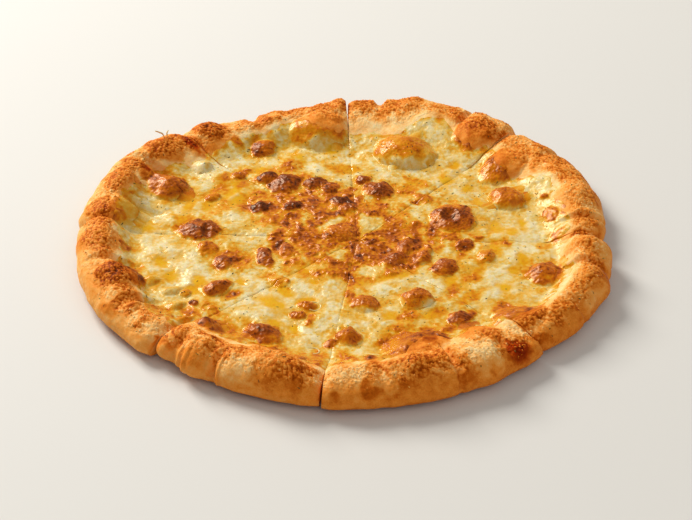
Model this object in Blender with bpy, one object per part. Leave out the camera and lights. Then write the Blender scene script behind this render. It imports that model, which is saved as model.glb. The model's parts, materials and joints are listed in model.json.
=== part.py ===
"""A sixteen inch white pizza, stretched by hand, baked, and cut into eight slices that still lie together.

Each slice is two solids: the dough, with the thick rolled rim that the baker folds over at the edge, and the
sheet of melted cheese that lies on it and climbs the inner side of the rim. All lengths are in millimetres
up to the last step. Angles are in degrees, anticlockwise from +X, about the point where the cuts cross.
"""

import math

import bpy
import bmesh
import numpy as np
from mathutils import Vector, noise

METRES = 0.001

# Where the cuts cross, seen from the middle of the pizza's footprint, which is the origin.
CROSSING = (11.43, -0.60)

# The dough and the cheese, away from the rim.
CHEESE_TOP = 10.0
CHEESE_THICKNESS = 4.0
CHEESE_EDGE_THICKNESS = 1.0
LAYER_GAP = 0.3

# The rolled rim: how far its crest lies inside the outer edge, the height of the widest point, how far the
# edge tucks in under it, and the dished underside, which lifts towards the edge.
CREST_INSET = 20.0
WIDEST_HEIGHT = 9.0
UNDER_TUCK = 8.0
FLAT_RADIUS = 146.0
EDGE_RISE = 2.5

# The share of the rim's inner slope that the cheese climbs.
CHEESE_CLIMB = 0.55

# The knife's kerf at the middle, and how far the rounded corners of the rim reach beside a cut.
KERF = 0.9
TIP_RADIUS = 3.0
CORNER_REACH = 9.0
CORNER_DROP = 5.0

# A mesh row or column about every so many millimetres.
COVERED_ROWS = 12
SLOPE_ROWS = 4
SIDE_ROWS = 7
TUCK_ROWS = 2
UNDER_ROWS = 2
COLUMN_ANGLE = 3.75
EDGE_COLUMN = 1.2

# Each slice, from one cut to the next: its two cuts, then its outer radius, the radius at the foot of the
# rim and the height of the rim's crest, each at the first cut, halfway and at the second cut.
SLICES = (
    ((-1.0, 47.5), (186, 197, 197), (138, 134, 128), (22, 24, 22)),
    ((47.5, 92.5), (200, 199, 189), (124, 112, 118), (24, 26, 24)),
    ((92.5, 136.0), (193, 189, 204), (124, 137, 146), (26, 22, 22)),
    ((136.0, 176.0), (207, 216, 213), (150, 164, 168), (22, 25, 24)),
    ((176.0, 222.0), (212, 209, 200), (168, 164, 158), (25, 26, 19)),
    ((222.0, 262.0), (194, 192, 191), (141, 139, 146), (20, 26, 22)),
    ((262.0, 314.5), (193, 189, 187), (144, 126, 131), (24, 27, 20)),
    ((314.5, 359.0), (184, 192, 186), (135, 153, 140), (20, 26, 22)),
)

# How far each cut has opened at the rim.
CUT_OPENING = (0.8, 3.2, 4.2, 3.6, 1.0, 1.4, 2.0, 1.4)

# Lumps and blisters that rise from the surface: angle, radius, half length round the pizza, half width
# across the rim, height, and how steep the sides are, from 2 for a soft mound to 0.8 for a bubble.
LUMPS = (
    (68, 115, 27, 25, 11, 1.0),
    (36, 146, 15, 25, 7, 1.0),
    (22, 131, 15, 17, 7, 0.9),
    (19, 77, 17, 17, 5, 0.9),
    (339, 149, 14, 17, 7, 1.0),
    (318, 154, 22, 20, 5, 1.4),
    (299, 93, 13, 13, 7, 0.9),
    (274, 82, 13, 12, 4, 1.0),
    (287, 137, 26, 22, 7, 1.3),
    (304, 150, 17, 22, 7, 1.2),
    (102, 136, 24, 24, 9, 1.0),
    (54, 164, 19, 20, 6, 1.2),
    (131, 186, 13, 17, 5, 1.2),
    (144, 190, 16, 18, 3, 1.5),
    (159, 152, 17, 18, 10, 1.0),
    (162, 192, 17, 15, 4, 1.5),
    (174, 186, 16, 21, 4, 1.5),
    (184, 196, 17, 20, 3, 1.5),
    (199, 183, 16, 20, 5, 1.2),
    (124, 139, 11, 11, 6, 0.9),
    (177, 116, 13, 13, 5, 0.9),
    (214, 117, 11, 11, 5, 0.9),
    (242, 140, 16, 12, 6, 1.0),
    (230, 150, 14, 11, 4, 1.2),
    (267, 125, 9, 9, 5, 1.0),
    (147, 15, 13, 13, 3, 1.0),
    (128, 97, 15, 12, 4, 1.0),
    (251, 176, 26, 16, 5, 1.4),
    (233, 186, 10, 22, 5, 1.4),
    (76, 182, 14, 16, 2, 1.5),
    (93, 178, 12, 14, 3, 1.5),
    (14, 178, 18, 24, 4, 1.5),
    (352, 176, 12, 24, 4, 1.5),
    (340, 186, 16, 16, 4, 1.5),
)

# Creases where the rolled dough folds on itself: angle, radius, length along the rim's width, width and
# depth, with the same steepness as a lump.
CREASES = (
    (84, 186, 6, 24, 5, 1.6),
    (118, 184, 7, 20, 4, 1.6),
    (151, 180, 6, 26, 5, 1.4),
    (167, 172, 6, 22, 5, 1.4),
    (192, 184, 6, 24, 4, 1.6),
    (209, 180, 7, 22, 4, 1.6),
    (227, 190, 6, 20, 6, 1.4),
    (238, 190, 5, 18, 4, 1.6),
    (5, 176, 5, 30, 4, 1.6),
    (357, 178, 5, 28, 4, 1.6),
    (345, 172, 5, 24, 4, 1.6),
    (329, 182, 6, 22, 3, 1.6),
    (295, 172, 6, 24, 5, 1.4),
    (275, 178, 7, 20, 3, 1.6),
    (34, 188, 7, 20, 3, 1.6),
    (60, 182, 5, 22, 4, 1.6),
)

# Hand stretching and baking leave nothing quite even: wavelength and height of the unevenness.
RIM_WAVES = ((34.0, 2.2), (14.0, 1.1))
CHEESE_WAVES = ((26.0, 1.1), (11.0, 0.5))


def smooth(low, high, value):
    """0 below low and 1 above high, with a smooth rise between them."""
    share = np.clip((value - low) / (high - low), 0.0, 1.0)
    return share * share * (3.0 - 2.0 * share)


def through(stations, share):
    """The parabola through three stations at shares 0, 0.5 and 1."""
    first, middle, last = stations
    return (
        first * (1 - share) * (1 - 2 * share)
        + middle * 4 * share * (1 - share)
        + last * share * (2 * share - 1)
    )


def unevenness(x, y, z, waves):
    """The sum of a few layers of smooth noise at each point."""
    total = np.zeros(len(x))
    for layer, (length, height) in enumerate(waves):
        shift = 17.3 * layer
        total += height * np.array(
            [noise.noise(Vector((a / length + shift, b / length, c / length))) for a, b, c in zip(x, y, z)]
        )
    return total


def relief(angle, radius, marks):
    """The height that lumps, or the depth that creases, give at a point of the plan."""
    total = np.zeros_like(radius)
    for at_angle, at_radius, along, across, height, steepness in marks:
        turn = (angle - at_angle + 180.0) % 360.0 - 180.0
        round_way = np.radians(turn) * at_radius / along
        out_way = (radius - at_radius) / across
        inside = np.clip(1.0 - round_way**2 - out_way**2, 0.0, None)
        total += height * inside**steepness
    return total


def cheese_edge(angle, foot, crest):
    """How far out the cheese reaches at each angle: a wavy line on the inner slope of the rim."""
    wave = 0.16 * np.sin(np.radians(7 * angle)) + 0.1 * np.sin(np.radians(17 * angle + 40))
    return foot + (CHEESE_CLIMB + wave) * (crest - foot)


def section(share, slice_row):
    """One radial section of a slice, from its tip over the rim and back underneath.

    Returns radius, height and the outward normal of each point, with the row at which the cheese ends.
    """
    outer, foot, crest_height = (through(stations, share) for stations in slice_row[1:])
    crest = outer - CREST_INSET
    first, last = slice_row[0]
    angle = first + (last - first) * share
    edge = cheese_edge(angle, foot, crest)

    covered = TIP_RADIUS + (edge - TIP_RADIUS) * np.linspace(0, 1, COVERED_ROWS + 1)
    slope = np.linspace(edge, crest, SLOPE_ROWS + 1)[1:]
    inner = np.concatenate([covered, slope])
    inner_height = CHEESE_TOP + (crest_height - CHEESE_TOP) * smooth(foot, crest, inner)

    side = np.linspace(0.5 * math.pi, 0, SIDE_ROWS + 1)[1:]
    side_radius = crest + CREST_INSET * np.cos(side)
    side_height = WIDEST_HEIGHT + (crest_height - WIDEST_HEIGHT) * np.sin(side)

    tuck = np.linspace(0, -0.5 * math.pi, TUCK_ROWS + 1)[1:]
    tuck_radius = outer - UNDER_TUCK * (1 - np.cos(tuck))
    tuck_height = WIDEST_HEIGHT + (WIDEST_HEIGHT - EDGE_RISE) * np.sin(tuck)

    under_radius = np.concatenate([[FLAT_RADIUS], np.linspace(FLAT_RADIUS, TIP_RADIUS, UNDER_ROWS + 1)[1:]])
    under_height = np.zeros(len(under_radius))

    radius = np.concatenate([inner, side_radius, tuck_radius, under_radius])
    height = np.concatenate([inner_height, side_height, tuck_height, under_height])

    along_radius, along_height = np.gradient(radius), np.gradient(height)
    length = np.hypot(along_radius, along_height)
    normal = np.stack([-along_height / length, along_radius / length], axis=1)
    top_rows = len(inner) + len(side_radius)
    normal[top_rows + len(tuck_radius) :] = 0.0
    return angle, radius, height, normal, top_rows


def surface(index):
    """The outer skin of a slice as rows by columns of points, with the cheese's top where there is cheese."""
    slice_row = SLICES[index]
    first, last = slice_row[0]
    columns = round((last - first) / COLUMN_ANGLE)
    openings = CUT_OPENING[index], CUT_OPENING[(index + 1) % len(SLICES)]
    beside_cut = EDGE_COLUMN / (last - first)
    shares = [0.0, *np.linspace(beside_cut, 1.0 - beside_cut, columns), 1.0]
    skin = []
    for share in shares:
        angle, radius, height, normal, top_rows = section(share, slice_row)
        turn = math.radians(angle)
        rimward = smooth(TIP_RADIUS, slice_row[2][1] + CREST_INSET, radius)
        x, y = radius * math.cos(turn), radius * math.sin(turn)

        waves = unevenness(x, y, height, RIM_WAVES) * rimward
        waves += unevenness(x, y, height, CHEESE_WAVES) * (1 - rimward)
        lift = waves + relief(angle, radius, LUMPS) - relief(angle, radius, CREASES)
        for cut, opening in zip((first, last), openings):
            beside = radius * np.sin(np.radians(np.abs(angle - cut)))
            near = np.clip(1 - beside / CORNER_REACH, 0, 1) ** 2
            lift -= near * (0.6 + (CORNER_DROP * (0.5 + opening / 8) - 0.6) * smooth(140, 175, radius))
        lift[top_rows:] *= np.linspace(1, 0, len(lift) - top_rows) ** 3

        radius = radius + lift * normal[:, 0]
        height = height + lift * normal[:, 1]
        x, y = radius * math.cos(turn), radius * math.sin(turn)
        for cut, opening, weight in ((first, openings[0], 1 - share), (last, openings[1], -share)):
            half = 0.5 * (KERF + (opening - KERF) * smooth(110, 190, radius))
            x = x - weight * half * math.sin(math.radians(cut))
            y = y + weight * half * math.cos(math.radians(cut))
        skin.append(np.stack([x + CROSSING[0], y + CROSSING[1], height], axis=1))
    return np.stack(skin, axis=1)


def cheese_depth():
    """The thickness of the cheese at each of its rows, thinning out as it climbs the rim."""
    out = np.linspace(0, 1, COVERED_ROWS + 1)
    return CHEESE_THICKNESS - (CHEESE_THICKNESS - CHEESE_EDGE_THICKNESS) * smooth(0.7, 1.0, out)


def lofted_object(name, rows, material):
    """A closed solid from rows of points: the rows close on themselves, and its two ends are capped."""
    count, width = rows.shape[:2]
    mesh = bmesh.new()
    points = [[mesh.verts.new(rows[r, c] * METRES) for c in range(width)] for r in range(count)]
    for r in range(count):
        following = (r + 1) % count
        for c in range(width - 1):
            a, b = points[r][c], points[r][c + 1]
            d, e = points[following][c], points[following][c + 1]
            # Both faces of a sheet are split along the same diagonal, so that layers never cross.
            forward = r < following and r < count // 2
            corners = ((a, b, d), (b, e, d)) if forward else ((a, b, e), (a, e, d))
            for triangle in corners:
                mesh.faces.new(triangle)
    caps = [
        mesh.faces.new([points[r][0] for r in range(count)]),
        mesh.faces.new([points[r][width - 1] for r in range(count - 1, -1, -1)]),
    ]
    bmesh.ops.triangulate(mesh, faces=caps, ngon_method="EAR_CLIP")
    bmesh.ops.recalc_face_normals(mesh, faces=mesh.faces)
    data = bpy.data.meshes.new(name)
    mesh.to_mesh(data)
    mesh.free()
    data.materials.append(material)
    made = bpy.data.objects.new(name, data)
    bpy.context.scene.collection.objects.link(made)
    data.shade_smooth()
    data.set_sharp_from_angle(angle=math.radians(50))
    return made


def finish(name, colour, roughness):
    """A Principled material."""
    material = bpy.data.materials.new(name)
    material.use_nodes = True
    shader = material.node_tree.nodes["Principled BSDF"]
    shader.inputs["Base Color"].default_value = (*colour, 1.0)
    shader.inputs["Roughness"].default_value = roughness
    shader.inputs["Metallic"].default_value = 0.0
    return material


def make_slice(number, index, dough_finish, cheese_finish):
    """The dough and the cheese of one slice."""
    skin = surface(index)
    covered = skin[: COVERED_ROWS + 1]
    depth = cheese_depth()[:, None]

    dough = skin.copy()
    dough[: COVERED_ROWS + 1, :, 2] -= depth + LAYER_GAP
    lofted_object(f"crust_{number}", dough, dough_finish)

    underside = covered.copy()
    underside[:, :, 2] -= depth
    cheese = np.concatenate([covered, underside[::-1]])
    lofted_object(f"cheese_{number}", cheese, cheese_finish)


def main():
    for old in list(bpy.data.objects):
        bpy.data.objects.remove(old)
    dough_finish = finish("baked_dough", (0.62, 0.31, 0.10), 0.6)
    cheese_finish = finish("melted_cheese", (0.80, 0.62, 0.28), 0.35)
    for index in range(len(SLICES)):
        make_slice(index + 1, index, dough_finish, cheese_finish)


main()
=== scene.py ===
"""A sixteen inch white pizza, just cut: eight slices of blistered dough under browned, oily cheese."""

import json
import math

import bpy
import numpy as np
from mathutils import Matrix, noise

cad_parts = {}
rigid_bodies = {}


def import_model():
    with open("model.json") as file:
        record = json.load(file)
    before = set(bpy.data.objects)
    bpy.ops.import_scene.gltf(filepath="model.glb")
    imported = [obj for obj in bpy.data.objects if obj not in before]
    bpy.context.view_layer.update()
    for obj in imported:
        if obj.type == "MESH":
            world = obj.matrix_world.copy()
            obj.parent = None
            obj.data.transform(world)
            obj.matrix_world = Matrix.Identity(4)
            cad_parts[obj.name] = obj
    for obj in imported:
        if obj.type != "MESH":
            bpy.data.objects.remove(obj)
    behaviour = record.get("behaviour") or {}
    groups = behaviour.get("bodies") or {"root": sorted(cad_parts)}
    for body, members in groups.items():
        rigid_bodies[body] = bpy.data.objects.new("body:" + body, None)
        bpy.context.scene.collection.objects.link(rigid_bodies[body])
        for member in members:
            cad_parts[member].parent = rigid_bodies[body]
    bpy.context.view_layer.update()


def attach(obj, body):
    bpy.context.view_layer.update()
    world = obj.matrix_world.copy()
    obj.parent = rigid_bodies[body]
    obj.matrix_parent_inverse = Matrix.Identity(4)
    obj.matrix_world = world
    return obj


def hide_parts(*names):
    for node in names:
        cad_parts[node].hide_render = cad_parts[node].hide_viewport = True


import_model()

# The dough.
# Strong wheat dough is stretched by hand until it is thin, its edge is folded over, and it bakes into a flat
# base with a thick, uneven rim, crisp outside. A cutter wheel parts it into eight slices, one piece each.

# Lengths are in millimetres, and angles in degrees, anticlockwise from +X about the point where the cuts
# cross.
MILLIMETRE = 0.001
CROSSING = (11.43, -0.60)

# Each slice: the angles of its two cuts, then its outer radius, the radius at the foot of its rim, and the
# height of its crest, each at the first cut, halfway and at the second cut.
SLICES = (
    ((-1.0, 47.5), (186, 197, 197), (138, 134, 128), (22, 24, 22)),
    ((47.5, 92.5), (200, 199, 189), (124, 112, 118), (24, 26, 24)),
    ((92.5, 136.0), (193, 189, 204), (124, 137, 146), (26, 22, 22)),
    ((136.0, 176.0), (207, 216, 213), (150, 164, 168), (22, 25, 24)),
    ((176.0, 222.0), (212, 209, 200), (168, 164, 158), (25, 26, 19)),
    ((222.0, 262.0), (194, 192, 191), (141, 139, 146), (20, 26, 22)),
    ((262.0, 314.5), (193, 189, 187), (144, 126, 131), (24, 27, 20)),
    ((314.5, 359.0), (184, 192, 186), (135, 153, 140), (20, 26, 22)),
)

# The width of the cuts in the base, how far the rim has opened at each slice's first cut, and how the corners
# beside a cut are rounded: how wide, and how deep on the rim and on the cheese.
KERF = 0.6
CUT_OPENING = (0.8, 2.6, 2.8, 1.6, 1.0, 1.4, 2.0, 1.4)
CORNER_REACH = 9.0
CORNER_DROP = 5.0
CHEESE_CORNER_DROP = 0.6

# A section through a slice: its blunt tip, the level of the cheese, the share of the rim's inner slope that
# the cheese climbs, the crest, the widest line of the rim, and the base, which lifts a little at its edge.
TIP_RADIUS = 1.6
CHEESE_TOP = 10.0
CHEESE_CLIMB = 0.55
CREST_INSET = 20.0
WIDEST_HEIGHT = 9.0
UNDER_TUCK = 8.0
FLAT_RADIUS = 146.0
EDGE_RISE = 2.5

# Bubbles of steam under the skin: angle, radius, half length round the pizza, half width across the rim,
# height, steepness (2 a soft mound, 0.8 a tight bubble) and how brown the top is, from 0 to 1.
BUBBLES = (
    # Slice 1.
    (38.5, 148, 17, 23, 7, 1.0, 0.5), (24.5, 128, 16, 14, 8, 0.75, 0.52),
    (20.5, 78, 20, 19, 5, 0.9, 0.74), (14, 178, 18, 24, 4, 1.5, 0.25), (47, 75, 10, 7, 2, 1.2, 0.4),
    (10, 151, 9, 7, 2, 1.2, 0.55), (18.5, 154, 3, 3, 2, 1.0, 0.55),
    # Slice 2.
    (71.5, 122, 27, 20, 11, 0.75, 0.4), (54, 164, 19, 20, 6, 1.2, 0.52),
    (76, 182, 14, 16, 2, 1.5, 0.35), (76, 69, 14, 12, 4, 0.9, 0.76), (86, 81, 7, 6, 3, 0.9, 0.72),
    # Slice 3.
    (102, 147, 25, 20, 10, 0.9, 0.4), (131, 186, 13, 17, 5, 1.2, 0.6),
    (121.5, 145, 11, 10, 6, 0.9, 0.74), (126.5, 95, 15, 12, 4, 1.0, 0.82),
    (93, 178, 12, 14, 3, 1.5, 0.4), (130, 110, 9, 8, 4, 1.0, 0.88), (113, 83, 11, 8, 4, 1.0, 0.78),
    (107, 73, 8, 8, 3, 1.0, 0.78), (104, 54, 10, 7, 2, 1.0, 0.85), (99, 42, 8, 7, 2, 1.0, 0.72),
    # Slice 4.
    (144, 190, 16, 18, 3, 1.5, 0.5), (155, 163, 17, 17, 9, 0.9, 0.66), (162, 192, 17, 15, 4, 1.5, 0.42),
    (169, 180, 15, 14, 5, 1.2, 0.28), (174, 192, 14, 14, 3, 1.5, 0.5), (174, 121, 14, 17, 5, 0.9, 0.8),
    (147, 15, 13, 13, 3, 1.0, 0.5), (150, 87, 10, 7, 3, 1.0, 0.84), (138, 68, 9, 7, 3, 1.0, 0.8),
    (153, 127, 8, 6, 3, 1.0, 0.5), (137, 129, 7, 6, 3, 1.0, 0.62), (141.5, 157, 9, 8, 5, 0.9, 0.0),
    # Slice 5.
    (184, 196, 17, 20, 3, 1.5, 0.35), (199, 183, 16, 20, 5, 1.2, 0.66), (211, 119, 9, 13, 5, 0.9, 0.66),
    (197, 73, 14, 7, 3, 1.0, 0.76), (196, 104, 10, 8, 3, 1.0, 0.74), (186, 114, 10, 9, 3, 1.1, 0.45),
    (214, 143, 5, 4, 2, 1.0, 0.78), (205, 150, 6, 8, 3, 1.2, 0.1), (212, 155, 6, 9, 3.5, 1.2, 0.16),
    (219, 160, 5, 8, 3, 1.2, 0.42), (208, 142, 5, 5, 2.5, 1.0, 0.4), (194, 55, 10, 6, 2.5, 1.0, 0.8),
    (199, 160, 6, 7, 3, 1.2, 0.2),
    # Slice 6.
    (240, 134, 16, 11, 6, 1.0, 0.72), (226, 152, 12, 11, 4, 1.2, 0.6), (251, 176, 26, 16, 5, 1.4, 0.3),
    (233, 186, 10, 22, 5, 1.4, 0.22), (245, 103, 6, 5, 3, 1.0, 0.65), (246, 90, 9, 6, 3, 1.0, 0.55),
    (261, 126, 5, 6, 2, 1.0, 0.6), (222, 78, 9, 7, 2, 1.2, 0.5), (226, 157, 6, 6, 2, 1.0, 0.65),
    (231, 190, 4, 24, 2.5, 1.2, 0.2), (239, 192, 3, 16, 2, 1.2, 0.2),
    # Slice 7.
    (299, 87, 13, 12, 7, 0.9, 0.55), (273.5, 80, 11, 11, 4, 1.0, 0.55),
    (287, 137, 26, 20, 8, 1.1, 0.52), (304, 152, 16, 18, 4, 1.2, 0.44),
    (266.5, 119, 10, 9, 5, 1.0, 0.68), (306.5, 121, 10, 8, 3, 1.0, 0.74),
    (300, 180, 14, 14, 3, 1.2, 0.0), (283, 170, 12, 12, 3, 1.2, 0.5),
    # Slice 8.
    (342, 145, 15, 14, 7, 1.0, 0.62), (318, 152, 22, 20, 5, 1.4, 0.55),
    (352, 176, 12, 24, 4, 1.5, 0.25), (340, 186, 16, 16, 4, 1.5, 0.3),
    (331.5, 74, 12, 10, 4, 1.0, 0.66), (336, 54, 12, 6, 3, 1.0, 0.5), (317, 37, 14, 8, 3, 1.0, 0.68),
    (347, 38, 11, 7, 3, 1.0, 0.7), (356, 82, 7, 7, 3, 1.0, 0.7), (347, 99, 9, 8, 3, 1.1, 0.42),
)
# Burst bubbles, whose middles have sunk: the same without the browning.
DIMPLES = (
    (20, 76, 9, 8, 5, 1.2), (176, 115, 8, 4, 3, 1.2),
)
# Creases where the rolled dough folds on itself, in the same order.
CREASES = (
    # Slice 1.
    (5, 176, 5, 30, 4, 1.6), (34, 188, 7, 20, 3, 1.6),
    # Slice 2.
    (84, 186, 6, 24, 5, 1.6), (60, 182, 5, 22, 4, 1.6),
    # Slice 3.
    (118, 184, 7, 20, 4, 1.6),
    # Slice 4.
    (151, 180, 6, 26, 5, 1.4), (167, 172, 6, 22, 5, 1.4),
    # Slice 5.
    (192, 184, 6, 24, 4, 1.6), (209, 180, 7, 22, 4, 1.6),
    # Slice 6.
    (227, 190, 6, 20, 4, 1.4), (238, 190, 5, 18, 4, 1.6),
    # Slice 7.
    (292, 172, 4, 24, 5, 1.4), (306, 168, 4, 20, 4, 1.4), (275, 178, 7, 20, 3, 1.6),
    # Slice 8.
    (357, 178, 5, 28, 4, 1.6), (345, 172, 5, 24, 4, 1.6), (329, 182, 6, 22, 3, 1.6),
)

# Layers of noise are given as (how far apart the lumps are, how much they count, which pattern).
RIM_WAVES = ((34.0, 2.2, 0.0), (14.0, 1.1, 17.3))
CHEESE_WAVES = ((26.0, 1.1, 0.0), (11.0, 0.5, 17.3))
RAGGED_CUT = ((9.0, 1.2, 30.0), (26.0, 1.0, 31.0))
RAGGED_CHEESE = ((13.0, 5.0, 3.1), (4.6, 2.6, 8.7))


def smooth(low, high, value):
    """0 below low and 1 above high, with a smooth rise between them."""
    share = np.clip((value - low) / (high - low), 0.0, 1.0)
    return share * share * (3.0 - 2.0 * share)


def through(stations, share):
    """The parabola through three stations at shares 0, 0.5 and 1."""
    first, middle, last = stations
    return (
        first * (1 - share) * (1 - 2 * share)
        + middle * 4 * share * (1 - share)
        + last * share * (2 * share - 1)
    )


def noise_at(x, y, z, size, pattern=0.0, basis="PERLIN_ORIGINAL"):
    """Smooth noise between about -1 and 1, whose lumps are size millimetres apart."""
    places = np.stack(np.broadcast_arrays(x / size + pattern, y / size, z / size), axis=-1)
    values = [noise.noise(place, noise_basis=basis) for place in places.reshape(-1, 3).tolist()]
    return np.array(values).reshape(places.shape[:-1])


def unevenness(x, y, z, layers, basis="PERLIN_ORIGINAL"):
    """The sum of a few layers of noise, as it comes from hand stretching and from the oven."""
    return sum(weight * noise_at(x, y, z, size, pattern, basis) for size, weight, pattern in layers)


def distance_in(angle, radius, mark):
    """How far a point lies from the middle of a mark, as a share of the mark's half size."""
    at_angle, at_radius, along, across = mark[:4]
    turn = (angle - at_angle + 180.0) % 360.0 - 180.0
    return np.hypot(np.radians(turn) * at_radius / along, (radius - at_radius) / across)


def relief(angle, radius, marks):
    """The height that bubbles, or the depth that creases, give at each point."""
    total = np.zeros(np.broadcast(angle, radius).shape)
    for mark in marks:
        height, steepness = mark[4:6]
        inside = np.clip(1.0 - distance_in(angle, radius, mark) ** 2, 0.0, None)
        total += height * inside ** steepness
    return total


def cheese_edge(angle, foot, crest):
    """How far out the cheese reaches: a wavy line on the inner slope of the rim."""
    wave = 0.16 * np.sin(np.radians(7 * angle)) + 0.1 * np.sin(np.radians(17 * angle + 40))
    return foot + (CHEESE_CLIMB + wave) * (crest - foot)


def slice_skin(index, share, station, tip=TIP_RADIUS):
    """The outer skin of one slice, as rows of stations by columns of shares.

    Station 0 is the tip, 1 the edge of the cheese, 2 the rim's crest, 3 its widest line, 4 where it meets
    the table and 5 the tip again, underneath. Share 0 is the first cut and share 1 the second.
    """
    (first, last), *stations = SLICES[index]
    share, station = share[None, :], station[:, None]
    angle = first + (last - first) * share
    outer, foot, crest_height = (through(values, share) for values in stations)
    crest = outer - CREST_INSET
    edge = cheese_edge(angle, foot, crest)

    covered, slope, side, tuck, under = (np.clip(station - step, 0, 1) for step in range(5))
    inner = tip + (edge - tip) * covered + (crest - edge) * slope
    side_turn, tuck_turn = 0.5 * math.pi * side, 0.5 * math.pi * tuck
    radius = inner + CREST_INSET * np.sin(side_turn) - UNDER_TUCK * (1 - np.cos(tuck_turn))
    radius = radius - (outer - UNDER_TUCK - tip) * under

    height = CHEESE_TOP + (crest_height - CHEESE_TOP) * smooth(foot, crest, inner)
    side_height = WIDEST_HEIGHT + (crest_height - WIDEST_HEIGHT) * np.cos(side_turn)
    height = np.where(station > 2, side_height, height)
    tuck_height = WIDEST_HEIGHT - (WIDEST_HEIGHT - EDGE_RISE) * np.sin(tuck_turn)
    height = np.where(station > 3, tuck_height, height)
    rise = np.clip((radius - FLAT_RADIUS) / (outer - UNDER_TUCK - FLAT_RADIUS), 0, 1)
    height = np.where(station > 4, EDGE_RISE * rise, height)

    out, up = np.gradient(radius, axis=0), np.gradient(height, axis=0)
    length = np.hypot(out, up)
    return {
        "angle": angle + 0 * radius, "radius": radius, "height": height, "edge": edge, "foot": foot,
        "outer": outer, "share": share, "station": station, "out": -up / length, "up": out / length,
    }


def in_plan(skin):
    """x and y of each point of the skin, about the middle of the cuts."""
    turn = np.radians(skin["angle"])
    return skin["radius"] * np.cos(turn), skin["radius"] * np.sin(turn)


def raised(skin, lift):
    """The skin moved outwards by lift millimetres."""
    radius = skin["radius"] + lift * skin["out"]
    height = skin["height"] + lift * skin["up"]
    return {**skin, "radius": radius, "height": height}


def drifted(skin):
    """Angle and radius of each point, moved a little to and fro, so that bubbles aren't true ellipses."""
    if "drift" not in skin:
        x, y = in_plan(skin)
        along, across = (2.0 * noise_at(x, y, 0.0, 9.0, pattern) for pattern in (50.0, 54.0))
        skin["drift"] = np.degrees(along / np.maximum(skin["radius"], 8.0)), across
    return skin["angle"] + skin["drift"][0], skin["radius"] + skin["drift"][1]


def cuts_of(index):
    """The two cuts beside a slice, each as its angle and how far the rim has opened there."""
    first, last = SLICES[index][0]
    return (first, CUT_OPENING[index]), (last, CUT_OPENING[(index + 1) % len(SLICES)])


def main_forms(index, skin):
    """The waves, bubbles, creases and rounded corners that the dough and the cheese of a slice share."""
    x, y = in_plan(skin)
    rimward = smooth(TIP_RADIUS, SLICES[index][2][1] + CREST_INSET, skin["radius"])
    lift = unevenness(x, y, skin["height"], RIM_WAVES) * rimward
    lift += unevenness(x, y, skin["height"], CHEESE_WAVES) * (1 - rimward)
    lift += relief(*drifted(skin), BUBBLES) - relief(skin["angle"], skin["radius"], CREASES)
    lift -= relief(*drifted(skin), DIMPLES)
    for cut, opening in cuts_of(index):
        beside = skin["radius"] * np.sin(np.radians(np.abs(skin["angle"] - cut)))
        near = np.clip(1 - beside / CORNER_REACH, 0, 1) ** 2
        rim_drop = CORNER_DROP * (0.5 + opening / 8)
        on_rim = smooth(140, 175, skin["radius"])
        lift -= near * (CHEESE_CORNER_DROP + (rim_drop - CHEESE_CORNER_DROP) * on_rim)
    # It lies flat underneath.
    lift *= np.clip(4.0 - skin["station"], 0, 1) ** 2
    return lift


def placed(index, skin, kerf):
    """The skin's points in metres, with the two cut faces drawn back from the cuts."""
    x, y = in_plan(skin)
    up_rim = (skin["radius"] - skin["foot"]) / (skin["outer"] - skin["foot"])
    for (cut, opening), weight in zip(cuts_of(index), (1 - skin["share"], -skin["share"])):
        ragged = unevenness(skin["radius"], cut, 0, RAGGED_CUT)
        # The rim stands open towards its outer edge.
        opened = (opening - kerf) * smooth(0.4, 1.0, up_rim)
        half = 0.5 * (kerf * np.clip(1 + ragged, 0.3, 2.6) + opened)
        x = x - weight * half * math.sin(math.radians(cut))
        y = y + weight * half * math.cos(math.radians(cut))
    return np.stack([x + CROSSING[0], y + CROSSING[1], skin["height"]], axis=-1) * MILLIMETRE


def select_vertices(mesh, wanted):
    """Selects just these vertices of a mesh in object mode."""
    mesh.vertices.foreach_set("select", wanted)
    mesh.edges.foreach_set("select", np.zeros(len(mesh.edges), bool))
    mesh.polygons.foreach_set("select", np.zeros(len(mesh.polygons), bool))


def rolled_sheet(name, points):
    """A sheet of dough or cheese, rolled round until its last row of points joins its first, and closed."""
    rows, columns = points.shape[:2]
    bpy.ops.object.select_all(action="DESELECT")
    bpy.ops.mesh.primitive_grid_add(x_subdivisions=columns - 1, y_subdivisions=rows - 1, size=1)
    piece = bpy.context.object
    piece.name = name
    piece.data.name = name
    piece.data.vertices.foreach_set("co", points.reshape(-1))

    # The last row is bridged to the first, and the two cut faces are filled.
    row, column = np.divmod(np.arange(rows * columns), columns)
    select_vertices(piece.data, (row == 0) | (row == rows - 1))
    bpy.ops.object.mode_set(mode="EDIT")
    bpy.ops.mesh.select_mode(type="VERT")
    bpy.ops.mesh.bridge_edge_loops()
    for side in (0, columns - 1):
        bpy.ops.object.mode_set(mode="OBJECT")
        select_vertices(piece.data, column == side)
        bpy.ops.object.mode_set(mode="EDIT")
        bpy.ops.mesh.edge_face_add()
        bpy.ops.mesh.quads_convert_to_tris(ngon_method="CLIP")
    bpy.ops.mesh.select_all(action="SELECT")
    bpy.ops.mesh.normals_make_consistent(inside=False)
    bpy.ops.object.mode_set(mode="OBJECT")
    bpy.ops.object.shade_smooth_by_angle(angle=math.radians(50))
    return piece


def paint(piece, **fields):
    """Stores each field on the piece's vertices, for its material to read."""
    for name, values in fields.items():
        attribute = piece.data.attributes.new(name, "FLOAT", "POINT")
        attribute.data.foreach_set("value", values.reshape(-1).astype(np.float32))
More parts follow.
